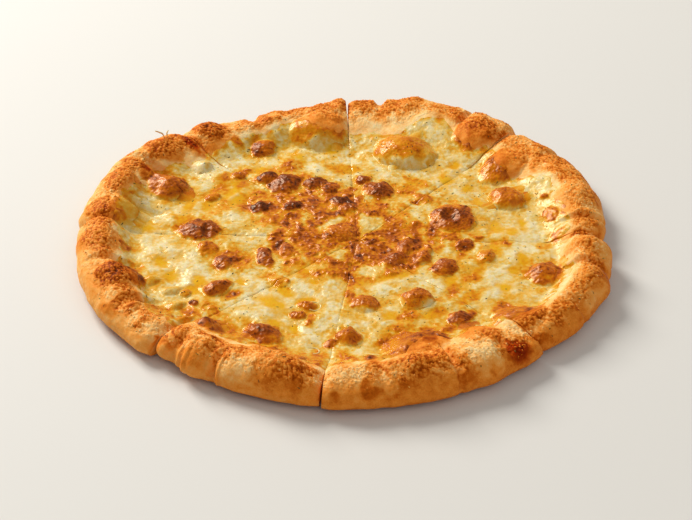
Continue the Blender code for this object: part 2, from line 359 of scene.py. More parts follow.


# How far the oven has browned it. The rim's crest and each bubble stand nearest the heat, so they go golden,
# then brown, and char in specks. Flat patches catch too, most of all round the middle and along some cuts.
# Some painted shade is mixed in: in a few patches, on the side turned from the window and between crumbs.

# Patches of brown on the cheese and the rim, a few of them partly painted shade: angle, radius, half length,
# half width, and how brown.
PATCHES = (
    # Slice 1.
    (12, 57, 17, 7, 0.6), (4, 74, 14, 8, 0.66), (21, 131, 7, 10, 0.5), (2, 92, 6, 5, 0.5),
    (25, 36, 26, 6, 0.58), (45, 40, 12, 6, 0.58), (32, 30, 14, 7, 0.5), (45, 52, 14, 7, 0.46),
    (31, 90, 10, 7, 0.34), (8, 82, 12, 7, 0.4), (28, 72, 10, 7, 0.42), (20, 20, 16, 10, 0.42),
    (46, 76, 11, 6, 0.38), (4, 172, 12, 9, 0.4), (10, 165, 12, 10, 0.3), (24, 180, 24, 9, 0.34),
    (38, 172, 12, 10, 0.34), (44, 176, 8, 12, 0.26), (0, 152, 8, 7, 0.45), (3, 45, 18, 6, 0.5),
    # Slice 2.
    (54, 91, 12, 6, 0.32), (65, 50, 16, 3, 0.6), (75, 46, 14, 5, 0.42), (86, 45, 8, 7, 0.5),
    (60, 74, 10, 8, 0.44), (60, 93, 12, 7, 0.34), (48, 68, 6, 3, 0.55), (58, 83, 8, 4, 0.3),
    (54, 168, 18, 16, 0.4), (66, 178, 18, 12, 0.34), (78, 180, 14, 12, 0.42), (88, 176, 10, 14, 0.46),
    # Slice 3.
    (127, 100, 9, 6, 0.78), (105, 36, 12, 8, 0.52), (119, 114, 10, 9, 0.48), (107, 54, 12, 8, 0.54),
    (97, 50, 8, 10, 0.68), (100, 62, 7, 8, 0.7), (134, 168, 12, 8, 0.46), (102, 52, 20, 12, 0.6),
    (118, 40, 12, 6, 0.76), (125, 62, 16, 10, 0.58), (110, 64, 12, 8, 0.6), (133, 84, 14, 12, 0.5),
    (120, 75, 12, 6, 0.6), (118, 95, 10, 8, 0.44), (122, 108, 8, 7, 0.4), (96, 98, 12, 6, 0.32),
    (102, 101, 6, 5, 0.36), (94, 68, 5, 4, 0.68), (98, 60, 8, 5, 0.62), (97, 152, 10, 12, 0.4),
    (107, 153, 10, 10, 0.36), (127, 160, 4, 8, 0.6), (110, 56, 14, 10, 0.5), (122, 112, 16, 9, 0.44),
    (134, 130, 6, 5, 0.58), (130, 182, 10, 15, 0.58), (120, 178, 12, 8, 0.42), (108, 176, 14, 8, 0.42),
    (98, 176, 8, 10, 0.46),
    # Slice 4.
    (147, 78, 14, 12, 0.55), (157, 72, 14, 10, 0.52), (143, 98, 12, 10, 0.48), (153, 97, 10, 7, 0.5),
    (164, 84, 12, 10, 0.3), (150, 58, 16, 8, 0.6), (165, 52, 16, 8, 0.5), (172, 42, 16, 8, 0.55),
    (140, 40, 16, 9, 0.6), (137, 115, 12, 8, 0.35), (150, 128, 14, 8, 0.38), (141, 133, 8, 7, 0.45),
    (158, 115, 12, 8, 0.3), (173, 135, 7, 8, 0.48), (155, 175, 6, 14, 0.66), (138, 186, 8, 18, 0.62),
    (146, 192, 11, 9, 0.55), (153, 186, 6, 14, 0.6), (160, 195, 12, 8, 0.42), (172, 194, 9, 8, 0.44),
    # Slice 5.
    (202, 34, 16, 8, 0.5), (197, 52, 14, 6, 0.54), (218, 136, 8, 8, 0.38), (200, 50, 8, 6, 0.5),
    (182, 168, 12, 6, 0.38), (214, 168, 14, 8, 0.44), (176, 60, 12, 6, 0.62), (178, 190, 8, 8, 0.4),
    (184, 63, 12, 5, 0.66), (180, 48, 16, 8, 0.5), (195, 94, 16, 13, 0.5), (188, 112, 9, 8, 0.38),
    (198, 73, 16, 6, 0.6), (198, 57, 18, 7, 0.52), (210, 58, 10, 6, 0.45), (214, 52, 7, 6, 0.35),
    (220, 80, 12, 6, 0.42), (216, 62, 8, 10, 0.3), (217, 113, 5, 6, 0.55), (217, 152, 10, 8, 0.42),
    (188, 190, 16, 9, 0.42), (197, 178, 14, 12, 0.64), (207, 185, 18, 8, 0.42), (215, 180, 10, 8, 0.4),
    (184, 176, 8, 6, 0.4), (212, 163, 12, 8, 0.3), (193, 168, 14, 6, 0.3),
    # Slice 6.
    # Near the cut by the middle at 255 degrees, and along the rim's inner foot from 247 to 258 degrees, the
    # brown is partly painted shade of the cut and of the crevice there.
    (255, 22, 14, 10, 0.6), (258, 40, 10, 8, 0.5), (255, 152, 10, 8, 0.5), (247, 152, 18, 8, 0.44),
    (256, 168, 10, 8, 0.42), (256, 176, 10, 12, 0.5), (258, 36, 10, 9, 0.7), (225, 57, 10, 5, 0.2),
    (247, 97, 10, 12, 0.32), (251, 104, 4, 8, 0.6), (233, 45, 16, 6, 0.25), (252, 46, 14, 7, 0.48),
    (255, 33, 18, 7, 0.6), (235, 30, 18, 7, 0.5), (225, 38, 14, 6, 0.4), (231, 147, 20, 15, 0.4),
    (222, 170, 8, 10, 0.3), (226, 156, 8, 8, 0.52), (222, 140, 6, 8, 0.4), (238, 131, 18, 6, 0.52),
    (252, 150, 20, 14, 0.36), (247, 143, 10, 5, 0.48), (258, 148, 8, 16, 0.44), (233, 168, 16, 3, 0.6),
    (254, 176, 4, 4, 0.6), (225, 178, 8, 10, 0.15),
    # Slice 7.
    (285, 112, 8, 6, 0.4), (286, 114, 10, 7, 0.44), (262, 22, 10, 12, 0.75), (290, 141, 9, 8, 0.72),
    (281, 122, 10, 5, 0.5), (262, 46, 6, 7, 0.62), (265, 60, 4, 22, 0.48), (266, 150, 8, 16, 0.48),
    (276, 86, 8, 4, 0.5), (291, 100, 10, 10, 0.42), (303, 108, 12, 7, 0.3), (306, 96, 8, 5, 0.4),
    (312, 122, 8, 4, 0.58), (300, 30, 18, 8, 0.55), (285, 127, 22, 10, 0.48), (292, 132, 8, 16, 0.66),
    (282, 150, 20, 14, 0.45), (285, 168, 24, 10, 0.54), (300, 128, 14, 6, 0.45), (306, 152, 8, 16, 0.5),
    (273, 160, 6, 18, 0.45), (308, 182, 9, 11, 0.62),
    # Slice 8.
    (337, 53, 10, 5, 0.52), (347, 97, 11, 8, 0.44), (331, 95, 10, 7, 0.42), (358, 58, 8, 7, 0.5),
    (358, 108, 8, 8, 0.42), (320, 108, 12, 8, 0.35), (318, 95, 12, 7, 0.4), (328, 66, 8, 3, 0.6),
    (334, 46, 10, 5, 0.5), (315, 37, 20, 7, 0.64), (330, 38, 12, 6, 0.55), (350, 42, 16, 6, 0.6),
    (340, 28, 16, 10, 0.5), (356, 80, 8, 7, 0.66), (349, 97, 12, 8, 0.38), (345, 80, 8, 4, 0.45),
    (350, 62, 10, 4, 0.45), (357, 112, 6, 6, 0.4), (318, 155, 12, 12, 0.56), (321, 134, 14, 6, 0.5),
    (325, 176, 18, 7, 0.4), (334, 178, 14, 8, 0.3), (342, 170, 14, 8, 0.4), (350, 176, 12, 8, 0.42),
    (358, 166, 5, 6, 0.6), (357, 142, 5, 6, 0.35), (353, 183, 8, 8, 0.45),
)
# Places that stayed pale: the same without the last.
PALE = (
    # Slice 1.
    (30, 56, 13, 3.5), (6, 190, 16, 8),
    # Slice 2.
    (66, 22, 10, 13), (68, 103, 26, 6.5), (60, 113, 6, 13), (62, 106, 15, 9),
    # Slice 3.
    (104, 131, 20, 6), (128, 30, 12, 4),
    # Slice 4.
    (142, 157, 9, 8), (163, 172, 9, 12), (164, 98, 12, 10),
    # Slice 5.
    (178, 166, 14, 8),
    # Slice 6.
    (228, 24, 9, 9), (243, 188, 15, 14),
    # Slice 7.
    (299, 174, 13, 16), (312, 158, 6, 14), (290, 60, 22, 7), (285, 40, 12, 7), (303, 98, 9, 4),
    (272, 91, 9, 4),
    # Slice 8.
    (350, 186, 12, 8), (341, 165, 14, 7), (334, 192, 16, 8),
)
PALEST = 0.15
# The outside of the rim is painted darkest at this angle, the side turned from the window, and lightest
# across
# from it: painted shade laid over its tan.
SHADED_SIDE = 310.0
# Where fat from the cheese has run over the rim and fried red, in the same order.
GREASY = (
    (308, 181, 9, 12), (153, 178, 4, 10), (138, 176, 4, 12),
)


def browned(skin, wobble):
    """How brown each point is, 0 to 1, before the fine mottling: from its patches and its bubbles.
    A few of the patches are partly painted shade.
    """
    angle, radius = drifted(skin)
    total = np.zeros(radius.shape)
    for mark in PATCHES:
        patch = smooth(1.7, 0.2, distance_in(angle, radius, mark) + wobble)
        total = np.maximum(total, mark[4] * patch)

    # A bubble is brown all over its cap, most in the middle and in a ring near its edge, with a faint halo.
    for mark in BUBBLES:
        beside = distance_in(angle, radius, mark)
        near_edge = beside + 0.22 * wobble
        cap = 0.72 + 0.3 * smooth(0.95, 0.25, beside + wobble)
        ring = 0.12 * smooth(0.25, 0.05, np.abs(near_edge - 0.85))
        halo = 0.28 * smooth(2.0, 1.0, beside + 1.3 * wobble)
        top = (cap + ring) * smooth(1.08, 0.8, near_edge)
        total = np.maximum(total, mark[6] * np.maximum(top, halo))
    return total


def kept_pale(skin, wobble):
    """1 all over, and down to PALEST in the places that stayed pale."""
    kept = np.ones(skin["radius"].shape)
    for mark in PALE:
        inside = smooth(1.4, 0.5, distance_in(skin["angle"], skin["radius"], mark) + wobble)
        kept *= 1 - (1 - PALEST) * inside
    return np.clip(kept, PALEST, 1)


def cheese_line(skin):
    """How many millimetres each point lies beyond the ragged line where the cheese ends."""
    x, y = in_plan(skin)
    return skin["radius"] - skin["edge"] + unevenness(x, y, 0.0, RAGGED_CHEESE)


def rows_from(*runs):
    """Stations of the rows: each run is (from, to, how many)."""
    parts = [np.linspace(low, high, count, endpoint=False) for low, high, count in runs]
    return np.concatenate([*parts, [runs[-1][1]]])


def columns_for(index, radius, spacing):
    """Shares of the columns, so that they lie spacing apart at that radius."""
    first, last = SLICES[index][0]
    return np.linspace(0, 1, 1 + round(math.radians(last - first) * radius / spacing))


def facing(points):
    """The area round each point of a grid, as a vector that faces outwards."""
    return np.cross(np.gradient(points, axis=0), np.gradient(points, axis=1))


# How far apart the points of the skin lie, and how long the rim's inner slope, outer side and lower edge
# are. The dough is CHEESE_DEPTH lower where the cheese lies in it.
DOUGH_SPACING = 0.62
CLIMB_LENGTH = 26.0
SIDE_LENGTH = 30.0
TUCK_LENGTH = 13.0
CHEESE_DEPTH = 4.0

CRUMB_LINE = ((11.0, 0.2, 5.5), (4.0, 0.1, 5.0))
CRUMB_GRAINS = ((2.6, -0.8, 0.0), (1.5, -0.5, 3.0))
WRINKLES = ((8.0, 0.55, 6.0), (2.6, 0.2, 7.0))
DOUGH_WOBBLE = ((8.0, 0.4, 9.0), (3.0, 0.25, 11.0))
BROWN_SPOTS = ((17.0, 1.0, 15.0), (5.0, 0.3, 17.0))

# Where loose things can lie: for each slice the points, the areas round them, how thickly they are strewn and
# how brown they are.
crumb_places = []
herb_places = []


def bake_dough(index):
    """One slice of dough, with its colours painted on."""
    outer = SLICES[index][1][1]
    climb, side, tuck = (round(run / DOUGH_SPACING) for run in (CLIMB_LENGTH, SIDE_LENGTH, TUCK_LENGTH))
    # Few rows are needed underneath, and where the cheese hides the dough.
    station = rows_from(
        (0, 0.88, 10), (0.88, 1, climb // 2), (1, 2, climb), (2, 3, side), (3, 4, tuck), (4, 4.97, 6)
    )
    skin = slice_skin(index, columns_for(index, outer, DOUGH_SPACING), station)
    lift = main_forms(index, skin)
    beyond = cheese_line(skin)
    skin = raised(skin, lift)
    x, y = in_plan(skin)
    z = skin["height"]
    station = skin["station"]

    # Baked cheese crumbs roughen the crest and the slope inside it. The outer side below stays smooth.
    reach = station + unevenness(x, y, z, CRUMB_LINE)
    crumbed = smooth(2.66, 2.34, reach) * smooth(1.0, 1.7, station)
    clumps = noise_at(x, y, z, 7.5, 2.0)
    crumbs = unevenness(x, y, z, CRUMB_GRAINS, "VORONOI_F1") + 0.5 * noise_at(x, y, z, 1.2, 4.0)
    wrinkles = unevenness(x, y, z, WRINKLES)
    rough = (0.6 * crumbs + 1.0 * clumps) * crumbed + wrinkles * (1 - 0.5 * crumbed)
    skin = raised(skin, rough * np.clip(4.0 - station, 0, 1))
    recess = CHEESE_DEPTH * smooth(2.0, -24.0, beyond)
    skin["height"] = skin["height"] - np.where(station < 1.6, recess, 0)

    # The outer side is tanned, with painted shade that darkens it towards the front right, the side turned
    # from the window. It is darker again towards its lower edge.
    wobble = unevenness(x, y, z, DOUGH_WOBBLE)
    crest = smooth(1.1, 1.8, station + 0.4 * noise_at(x, y, z, 12.0, 12.0))
    side_tan_and_shade = 0.1 + 0.16 * (1 + np.cos(np.radians(skin["angle"] - SHADED_SIDE)))
    tan_and_shade = side_tan_and_shade * smooth(2.1, 2.7, station) + 0.15 * smooth(2.7, 2.1, station)
    tan_and_shade = tan_and_shade + 0.16 * smooth(3.1, 3.9, station + 0.3 * noise_at(x, y, z, 14.0, 16.0))

    # Patches, bubbles and spots brown the crest. The gaps between its crumbs are painted darker than their
    # tops:
    # painted shade in the gaps and painted light on the tops.
    spots = smooth(-0.05, 0.3, unevenness(x, y, z, BROWN_SPOTS) + 0.4 * clumps)
    kept = kept_pale(skin, wobble)
    marked = np.maximum(browned(skin, wobble), 0.4 * spots * crest) * kept * smooth(3.0, 2.4, reach)
    grain = np.clip(0.6 + 0.9 * crumbs, 0, 1) * crumbed + 0.55 * (1 - crumbed)
    tan_left = (1 - marked) * np.maximum(0.55 + 0.45 * kept, smooth(2.5, 2.95, station))
    toasted = 0.04 + tan_and_shade * crest * tan_left + marked * (1.15 - 0.45 * grain)
    toasted = toasted + 0.06 * noise_at(x, y, z, 5.0, 13.0) - 0.16 * (grain - 0.5) * crumbed
    grease = np.zeros(x.shape)
    for mark in GREASY:
        inside = smooth(1.3, 0.5, distance_in(skin["angle"], skin["radius"], mark) + wobble)
        grease = np.maximum(grease, inside)
    grease = grease * smooth(3.1, 2.6, station)

    points = placed(index, skin, KERF)
    upper = (station > 1.35) & (station < 2.7)
    crumb_places.append((points, facing(points), crumbed * crest * upper, toasted))
    herb_places.append((points, facing(points), 0.5 * upper + 0 * x, toasted))
    piece = rolled_sheet(f"baked_dough_{index + 1}", points)
    # The toast field also carries the dough's painted shade, on the side and between the crumbs.
    paint(piece, toast=np.clip(toasted, 0, 1), grease=grease)
    return piece


def linear(hex_colour):
    """A linear colour with alpha from an sRGB hex value."""
    channels = [int(hex_colour[i : i + 2], 16) / 255 for i in (1, 3, 5)]
    return (*(c / 12.92 if c <= 0.04045 else ((c + 0.055) / 1.055) ** 2.4 for c in channels), 1.0)


def node(tree, kind, settings=None, stops=(), **links):
    """Adds a shader node with its settings, a colour ramp's (position, hex colour) stops, and its links.

    Each link is an input's name, spaces as underscores, or its number after an underscore, with a socket or a
    value.
    """
    made = tree.nodes.new(kind)
    for name, value in (settings or {}).items():
        setattr(made, name, value)
    for i, (position, colour) in enumerate(stops):
        elements = made.color_ramp.elements
        element = elements[i] if i < len(elements) else elements.new(position)
        element.position = position
        element.color = linear(colour)
    for name, value in links.items():
        socket = made.inputs[int(name[1:])] if name[0] == "_" else made.inputs[name.replace("_", " ")]
        if isinstance(value, bpy.types.NodeSocket):
            tree.links.new(value, socket)
        else:
            socket.default_value = value
    return made


def new_material(name, **sockets):
    """An empty Principled material, with the sockets that are the same all over."""
    material = bpy.data.materials.new(name)
    material.use_nodes = True
    shader = material.node_tree.nodes["Principled BSDF"]
    for socket, value in sockets.items():
        shader.inputs[socket.replace("_", " ")].default_value = value
    return material, material.node_tree, shader


def mottled_by(tree, value, *patterns):
    """A value made uneven by noise patterns, each given as (its output, how much it counts)."""
    adding = {"operation": "MULTIPLY_ADD"}
    for pattern, strength in patterns:
        value = node(tree, "ShaderNodeMath", adding, _0=pattern, _1=strength, _2=value).outputs[0]
    middle = 0.5 * sum(strength for pattern, strength in patterns)
    return node(tree, "ShaderNodeMath", {"operation": "SUBTRACT"}, _0=value, _1=middle).outputs[0]


# Baked bread crust: matt and dry, a little waxy where cheese has fried on it. It runs from pale cream where
# it kept soft, through gold, to the dark brown of scorched sugar.
BAKED_CRUST = (
    (0.0, "#F0D8A0"), (0.14, "#F3C078"), (0.28, "#EBA04C"), (0.42, "#E2862C"), (0.56, "#C26010"),
    (0.72, "#963E04"), (0.87, "#642402"), (1.0, "#3A1602"),
)
FRIED_CRUST = ((0.2, "#D4700E"), (0.5, "#A83404"), (0.75, "#6E1A02"))
crust_finish, tree, shader = new_material(
    "baked_bread_crust", Specular_IOR_Level=0.06, Specular_Tint=linear("#FFC98A"), Subsurface_Weight=0.06,
    Subsurface_Scale=0.002,
)
place = node(tree, "ShaderNodeTexCoord").outputs["Object"]
# On the dough, toast also carries painted shade, on the side turned from the window and between crumbs.
toast = node(tree, "ShaderNodeAttribute", {"attribute_name": "toast"}).outputs["Fac"]
grease = node(tree, "ShaderNodeAttribute", {"attribute_name": "grease"}).outputs["Fac"]
# Flour specks and pores about 1 mm apart, and blotches about 4 mm across.
fine = node(tree, "ShaderNodeTexNoise", Vector=place, Scale=900.0, Detail=3.0).outputs["Fac"]
blotch = node(tree, "ShaderNodeTexNoise", Vector=place, Scale=260.0, Detail=2.0).outputs["Fac"]
level = mottled_by(tree, toast, (fine, 0.22), (blotch, 0.18))
dry = node(tree, "ShaderNodeValToRGB", stops=BAKED_CRUST, _0=level).outputs["Color"]
fried = node(tree, "ShaderNodeValToRGB", stops=FRIED_CRUST, _0=level).outputs["Color"]
colour = node(tree, "ShaderNodeMix", {"data_type": "RGBA"}, _0=grease, _6=dry, _7=fried).outputs[2]
tree.links.new(colour, shader.inputs["Base Color"])
gloss = node(tree, "ShaderNodeMapRange", Value=grease, To_Min=0.55, To_Max=0.25).outputs[0]
tree.links.new(gloss, shader.inputs["Roughness"])
grit = node(tree, "ShaderNodeBump", Height=fine, Strength=0.35, Distance=0.0004).outputs["Normal"]
tree.links.new(grit, shader.inputs["Normal"])

for index in range(len(SLICES)):
    dough = bake_dough(index)
    dough.data.materials.clear()
    dough.data.materials.append(crust_finish)
    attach(dough, "root")
    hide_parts(f"crust_{index + 1}")

# The cheese.
# Grated mozzarella has melted into one sheet, about three millimetres deep, with oil pooled in its hollows.
# It is cream white where it stayed cool, yellow where oil stands, and orange to brown where it fried.

# The cheese runs closer to the cuts than the dough, and a little way over the rim's inner slope.
CHEESE_SPACING = 0.72
CHEESE_OVERLAP = 0.34
OVERLAP_LENGTH = 14.0
CHEESE_KERF = 0.1 * KERF
CHEESE_TIP_RADIUS = 0.25
CHEESE_THICKNESS = 2.6
UNDER_ROWS = 9
# The middle of the pizza is brown all over out to the first radius, and no longer so at the second.
FRIED_MIDDLE = (30.0, 72.0)

# Hollows where the oil has run together: angle, radius, half length and half width.
POOLS = (
    # Slice 1.
    (8, 108, 13, 7), (5, 118, 8, 6), (28, 108, 16, 5), (39, 112, 8, 8), (10, 128, 10, 5),
    # Slice 2.
    (49, 108, 10, 8), (60, 88, 12, 7), (52, 127, 6, 7),
    # Slice 3.
    (95, 98, 14, 8), (99, 126, 8, 8), (112, 122, 8, 10), (113, 130, 6, 6), (128, 124, 10, 6),
    # Slice 4.
    (150, 108, 16, 8), (140, 122, 12, 8), (158, 126, 12, 8), (146, 117, 16, 8), (141, 132, 10, 6),
    (160, 140, 14, 6), (168, 137, 12, 6), (173, 160, 8, 8),
    # Slice 5.
    (190, 150, 12, 7), (198, 144, 8, 8), (186, 112, 9, 7), (211, 101, 8, 4), (208, 136, 8, 6),
    (204, 128, 9, 6),
    # Slice 6.
    (232, 100, 18, 10), (244, 86, 9, 8), (228, 84, 16, 6), (224, 56, 12, 6), (238, 64, 8, 5),
    (247, 116, 6, 8), (240, 118, 9, 6),
    # Slice 7.
    (272, 54, 9, 7), (299, 52, 15, 7), (309, 56, 10, 5), (300, 108, 12, 7), (283, 96, 8, 8),
    # Slice 8.
    (331, 122, 7, 8), (348, 126, 9, 6), (334, 98, 12, 6), (323, 86, 9, 7), (318, 108, 12, 6),
    (341, 122, 8, 6), (354, 104, 16, 7), (343, 128, 6, 5),
)

CHEESE_WOBBLE = ((8.0, 0.45, 9.0), (3.0, 0.25, 11.0))
FRIED_AREAS = ((16.0, 1.0, 20.0), (7.0, 0.5, 19.0))
CURDS = ((7.0, 0.6, 24.0), (3.0, 0.45, 25.0))
FRECKLES = ((6.0, 1.0, 40.0), (24.0, 0.5, 42.0))


def turned_under(values):
    """A few of the rows of a sheet, from its edge back to its tip, for the plain side underneath."""
    return values[:: -(len(values) // UNDER_ROWS)]


def melt_cheese(index):
    """One slice's sheet of cheese, with its browning and oil painted on."""
    reach = SLICES[index][1][1] - CREST_INSET
    rows = round(reach * 0.93 / CHEESE_SPACING)
    over = round(OVERLAP_LENGTH / CHEESE_SPACING)
    station = rows_from((0, 1, rows), (1, 1 + CHEESE_OVERLAP, over))
    columns = columns_for(index, 0.92 * reach, CHEESE_SPACING)
    skin = slice_skin(index, columns, station, CHEESE_TIP_RADIUS)
    lift = main_forms(index, skin)
    beyond = cheese_line(skin)
    skin = raised(skin, lift)
    x, y = in_plan(skin)
    z = skin["height"]

    # The fried middle has an uneven outline.
    wobble = unevenness(x, y, z, CHEESE_WOBBLE)
    areas = unevenness(x, y, z, FRIED_AREAS)
    centre = 0.52 * smooth(FRIED_MIDDLE[1], FRIED_MIDDLE[0], skin["radius"] + 26 * areas)
    brown = browned(skin, wobble) * (1 - 0.25 * smooth(0.0, 0.6, areas))
    brown = np.maximum(brown, centre) * kept_pale(skin, wobble)
    fried = smooth(0.2, 0.5, brown)

    # White curds stand a little above the yellow oil that seeps between them. Where the cheese fried, small
    # steam blisters with brown tops stand close together.
    curd = unevenness(x, y, z, CURDS)
    pimple = noise_at(x, y, z, 5.2, 21.0)
    small = noise_at(x, y, z, 2.3, 22.0)
    bubble = smooth(0.5, 2.5, relief(*drifted(skin), BUBBLES))
    tops = smooth(0.0, 0.45, pimple)
    bumps = tops * (0.1 + 0.9 * fried) + 0.2 * small * (0.6 + fried)
    bumps = bumps * (1 - 0.65 * bubble) + 0.6 * curd * (1 - 0.6 * bubble)
    bumps = bumps + 0.12 * noise_at(x, y, z, 1.4, 23.0) + 1.1 * noise_at(x, y, z, 15.0, 27.0)
    crust_grain = -noise_at(x, y, z, 2.4, 0.0, "VORONOI_F1") + 0.4 * small
    bumps = bumps + 0.34 * crust_grain * bubble * fried

    # Oil lies level in its pools and seeps between the curds.
    pooled = np.zeros(x.shape)
    for mark in POOLS:
        pooled = np.maximum(pooled, smooth(1.35, 0.35, distance_in(*drifted(skin), mark) + wobble))
    seep = smooth(0.2, -0.5, curd + 0.35 * noise_at(x, y, z, 34.0, 26.0))
    oil = np.clip(np.maximum(pooled, 0.65 * seep), 0, 1) * smooth(-1.0, -12.0, beyond)
    bumps = bumps * (1 - 0.75 * pooled * (1 - fried)) - 0.4 * pooled

    # The edge of the sheet thins out and dives under the crust's own crumbs. The cuts have healed in places.
    over_edge = np.where(beyond < 0, np.minimum(0.45, -beyond / 12.0), -beyond / 3.2)
    first, last = SLICES[index][0]
    beside = skin["radius"] * np.radians(np.minimum(skin["angle"] - first, last - skin["angle"]))
    healed = smooth(-0.3, 0.3, noise_at(skin["radius"], first, 0, 22.0, 33.0))
    cut_edge = (0.42 - 0.4 * healed) * np.clip(1 - beside / 1.5, 0, 1) ** 2
    skin = raised(skin, bumps * smooth(1.0, -4.0, beyond) + np.maximum(over_edge, -1.6) - cut_edge)

    # The browning breaks into spots, freckles and charred specks, and deepens along the edge of the sheet.
    broad = noise_at(x, y, z, 8.0, 28.0)
    speckle = np.clip(0.5 + 0.75 * broad * (1 - bubble) + 0.45 * small + 0.35 * pimple, 0, 1)
    toasted = brown * (0.6 + 0.27 * bubble + (0.78 - 0.54 * bubble) * speckle)
    freckle = smooth(0.22, 0.6, unevenness(x, y, z, FRECKLES) + 0.3 * small)
    toasted = toasted + (0.05 * smooth(0.45, -0.2, curd) + 0.13 * freckle) * (1 - brown)
    charred = smooth(0.3, 0.55, noise_at(x, y, z, 1.7, 41.0) + 0.3 * pimple)
    toasted = toasted + 0.22 * fried * charred + 0.04 * small + 0.01
    toasted = toasted + 0.2 * smooth(-9.0, 0.0, beyond) * smooth(-0.3, 0.4, pimple)

    top = placed(index, skin, CHEESE_KERF)
    thickly = smooth(20.0, 70.0, skin["radius"]) * smooth(-0.7, 0.2, noise_at(x, y, z, 30.0, 60.0))
    herb_places.append((top, facing(top), (beyond < 0) * thickly * (1 - 0.7 * fried), toasted))
    under = turned_under(top) - np.array([0, 0, CHEESE_THICKNESS * MILLIMETRE])
    piece = rolled_sheet(f"melted_cheese_{index + 1}", np.concatenate([top, under]))
    toasted = np.clip(toasted, 0, 1)
    paint(
        piece, toast=np.concatenate([toasted, turned_under(toasted)]),
        oil=np.concatenate([oil, turned_under(oil)]),
    )
    return piece


# Baked mozzarella: smooth, translucent and wet with oil, so its gloss is sharp in the pools and broken by
# tiny blisters where it browned. The brownest tops have dried a little.
BAKED_CHEESE = (
    (0.0, "#E3D3A6"), (0.1, "#DFC47C"), (0.22, "#DAA83C"), (0.36, "#D88A0E"), (0.5, "#C86C04"),
    (0.68, "#A24A00"), (0.84, "#763000"), (1.0, "#4A1C02"),
)
OILY_CHEESE = (
    (0.0, "#E0AA1E"), (0.2, "#DA980C"), (0.36, "#D07E04"), (0.54, "#B45A00"), (0.78, "#7A3200"),
    (1.0, "#4A1C02"),
)
cheese_finish, tree, shader = new_material(
    "baked_mozzarella", Specular_IOR_Level=0.3, Specular_Tint=linear("#FFD49A"), Subsurface_Weight=0.08,
    Subsurface_Scale=0.003,
)
place = node(tree, "ShaderNodeTexCoord").outputs["Object"]
toast = node(tree, "ShaderNodeAttribute", {"attribute_name": "toast"}).outputs["Fac"]
oil = node(tree, "ShaderNodeAttribute", {"attribute_name": "oil"}).outputs["Fac"]
# Tiny burst blisters and curds, about 1 mm and 3 mm apart.
fine = node(tree, "ShaderNodeTexNoise", Vector=place, Scale=800.0, Detail=3.0).outputs["Fac"]
curd = node(tree, "ShaderNodeTexNoise", Vector=place, Scale=320.0, Detail=2.0).outputs["Fac"]
level = mottled_by(tree, toast, (fine, 0.2), (curd, 0.2))
dry = node(tree, "ShaderNodeValToRGB", stops=BAKED_CHEESE, _0=level).outputs["Color"]
wet = node(tree, "ShaderNodeValToRGB", stops=OILY_CHEESE, _0=level).outputs["Color"]
colour = node(tree, "ShaderNodeMix", {"data_type": "RGBA"}, _0=oil, _6=dry, _7=wet).outputs[2]
tree.links.new(colour, shader.inputs["Base Color"])
wetness = node(tree, "ShaderNodeMapRange", Value=oil, To_Min=0.26, To_Max=0.12).outputs[0]
dry_top = node(
    tree, "ShaderNodeMapRange", Value=toast, From_Min=0.4, From_Max=0.7, To_Min=0.0, To_Max=0.13
).outputs[0]
gloss = node(tree, "ShaderNodeMath", {"operation": "ADD"}, _0=wetness, _1=dry_top).outputs[0]
tree.links.new(gloss, shader.inputs["Roughness"])
curd_bump = node(tree, "ShaderNodeBump", Height=curd, Strength=0.35, Distance=0.0006).outputs["Normal"]
tree.links.new(curd_bump, shader.inputs["Normal"])

for index in range(len(SLICES)):
    cheese = melt_cheese(index)
    cheese.data.materials.clear()
    cheese.data.materials.append(cheese_finish)
    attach(cheese, "root")
    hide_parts(f"cheese_{index + 1}")

# The crumbs of hard cheese.
# A little finely grated hard cheese was scattered on the rim before baking, and its crumbs have stuck there,
# half sunk and toasted. They are one piece.

# Sizes are the smallest and largest multiples of a grain one millimetre across, along each of its axes.
CRUMB_COUNT = 2800
CRUMB_SIZES = ((0.8, 2.0), (0.7, 1.5), (0.5, 1.1))
CRUMB_SINK = 0.1 * MILLIMETRE
CRUMB_LEAN = 0.25
GRAIN_RADIUS = 0.5 * MILLIMETRE
# How much browner each crumb is than the ground under it: the mean and the spread.
CRUMB_TONE = (-0.05, 0.07)
draw = np.random.default_rng(16)


def strewn(name, base, places, count, sizes, sink, lean):
    """Copies of a base piece, lying at random on the given places, joined to one new piece.

    Returns the piece and how brown the ground is under each of its vertices.
    """
    points, normals, likely, brown = (
        np.concatenate([place[i].reshape(-1, 3) if i < 2 else place[i].reshape(-1) for place in places])
        for i in range(4)
    )
    area = np.linalg.norm(normals, axis=1)
    normals = normals / np.maximum(area, 1e-12)[:, None]
    likely = likely * area
    chosen = draw.choice(len(likely), count, p=likely / likely.sum())
    up = normals[chosen] + lean * draw.normal(size=(count, 3))
    up /= np.linalg.norm(up, axis=1, keepdims=True)
    along = np.cross(up, draw.normal(size=(count, 3)))
    along /= np.linalg.norm(along, axis=1, keepdims=True)
    turned = np.stack([along, np.cross(up, along), up], axis=1)
    scale = draw.uniform([low for low, high in sizes], [high for low, high in sizes], (count, 3))
    ground = points[chosen] - normals[chosen] * (sink * scale[:, 2:])

    shape = np.array([vertex.co[:] for vertex in base.data.vertices])
    corners = np.array([face.vertices[:] for face in base.data.polygons])
    lying = np.einsum("nvi,nij->nvj", shape[None] * scale[:, None], turned) + ground[:, None]
    faces = (corners[None] + len(shape) * np.arange(count)[:, None, None]).reshape(-1, corners.shape[1])
    bpy.data.objects.remove(base)
    mesh = bpy.data.meshes.new(name)
    mesh.from_pydata(lying.reshape(-1, 3).tolist(), [], faces.tolist())
    mesh.shade_smooth()
    piece = bpy.data.objects.new(name, mesh)
    bpy.context.collection.objects.link(piece)
    return piece, np.repeat(brown[chosen], len(shape))


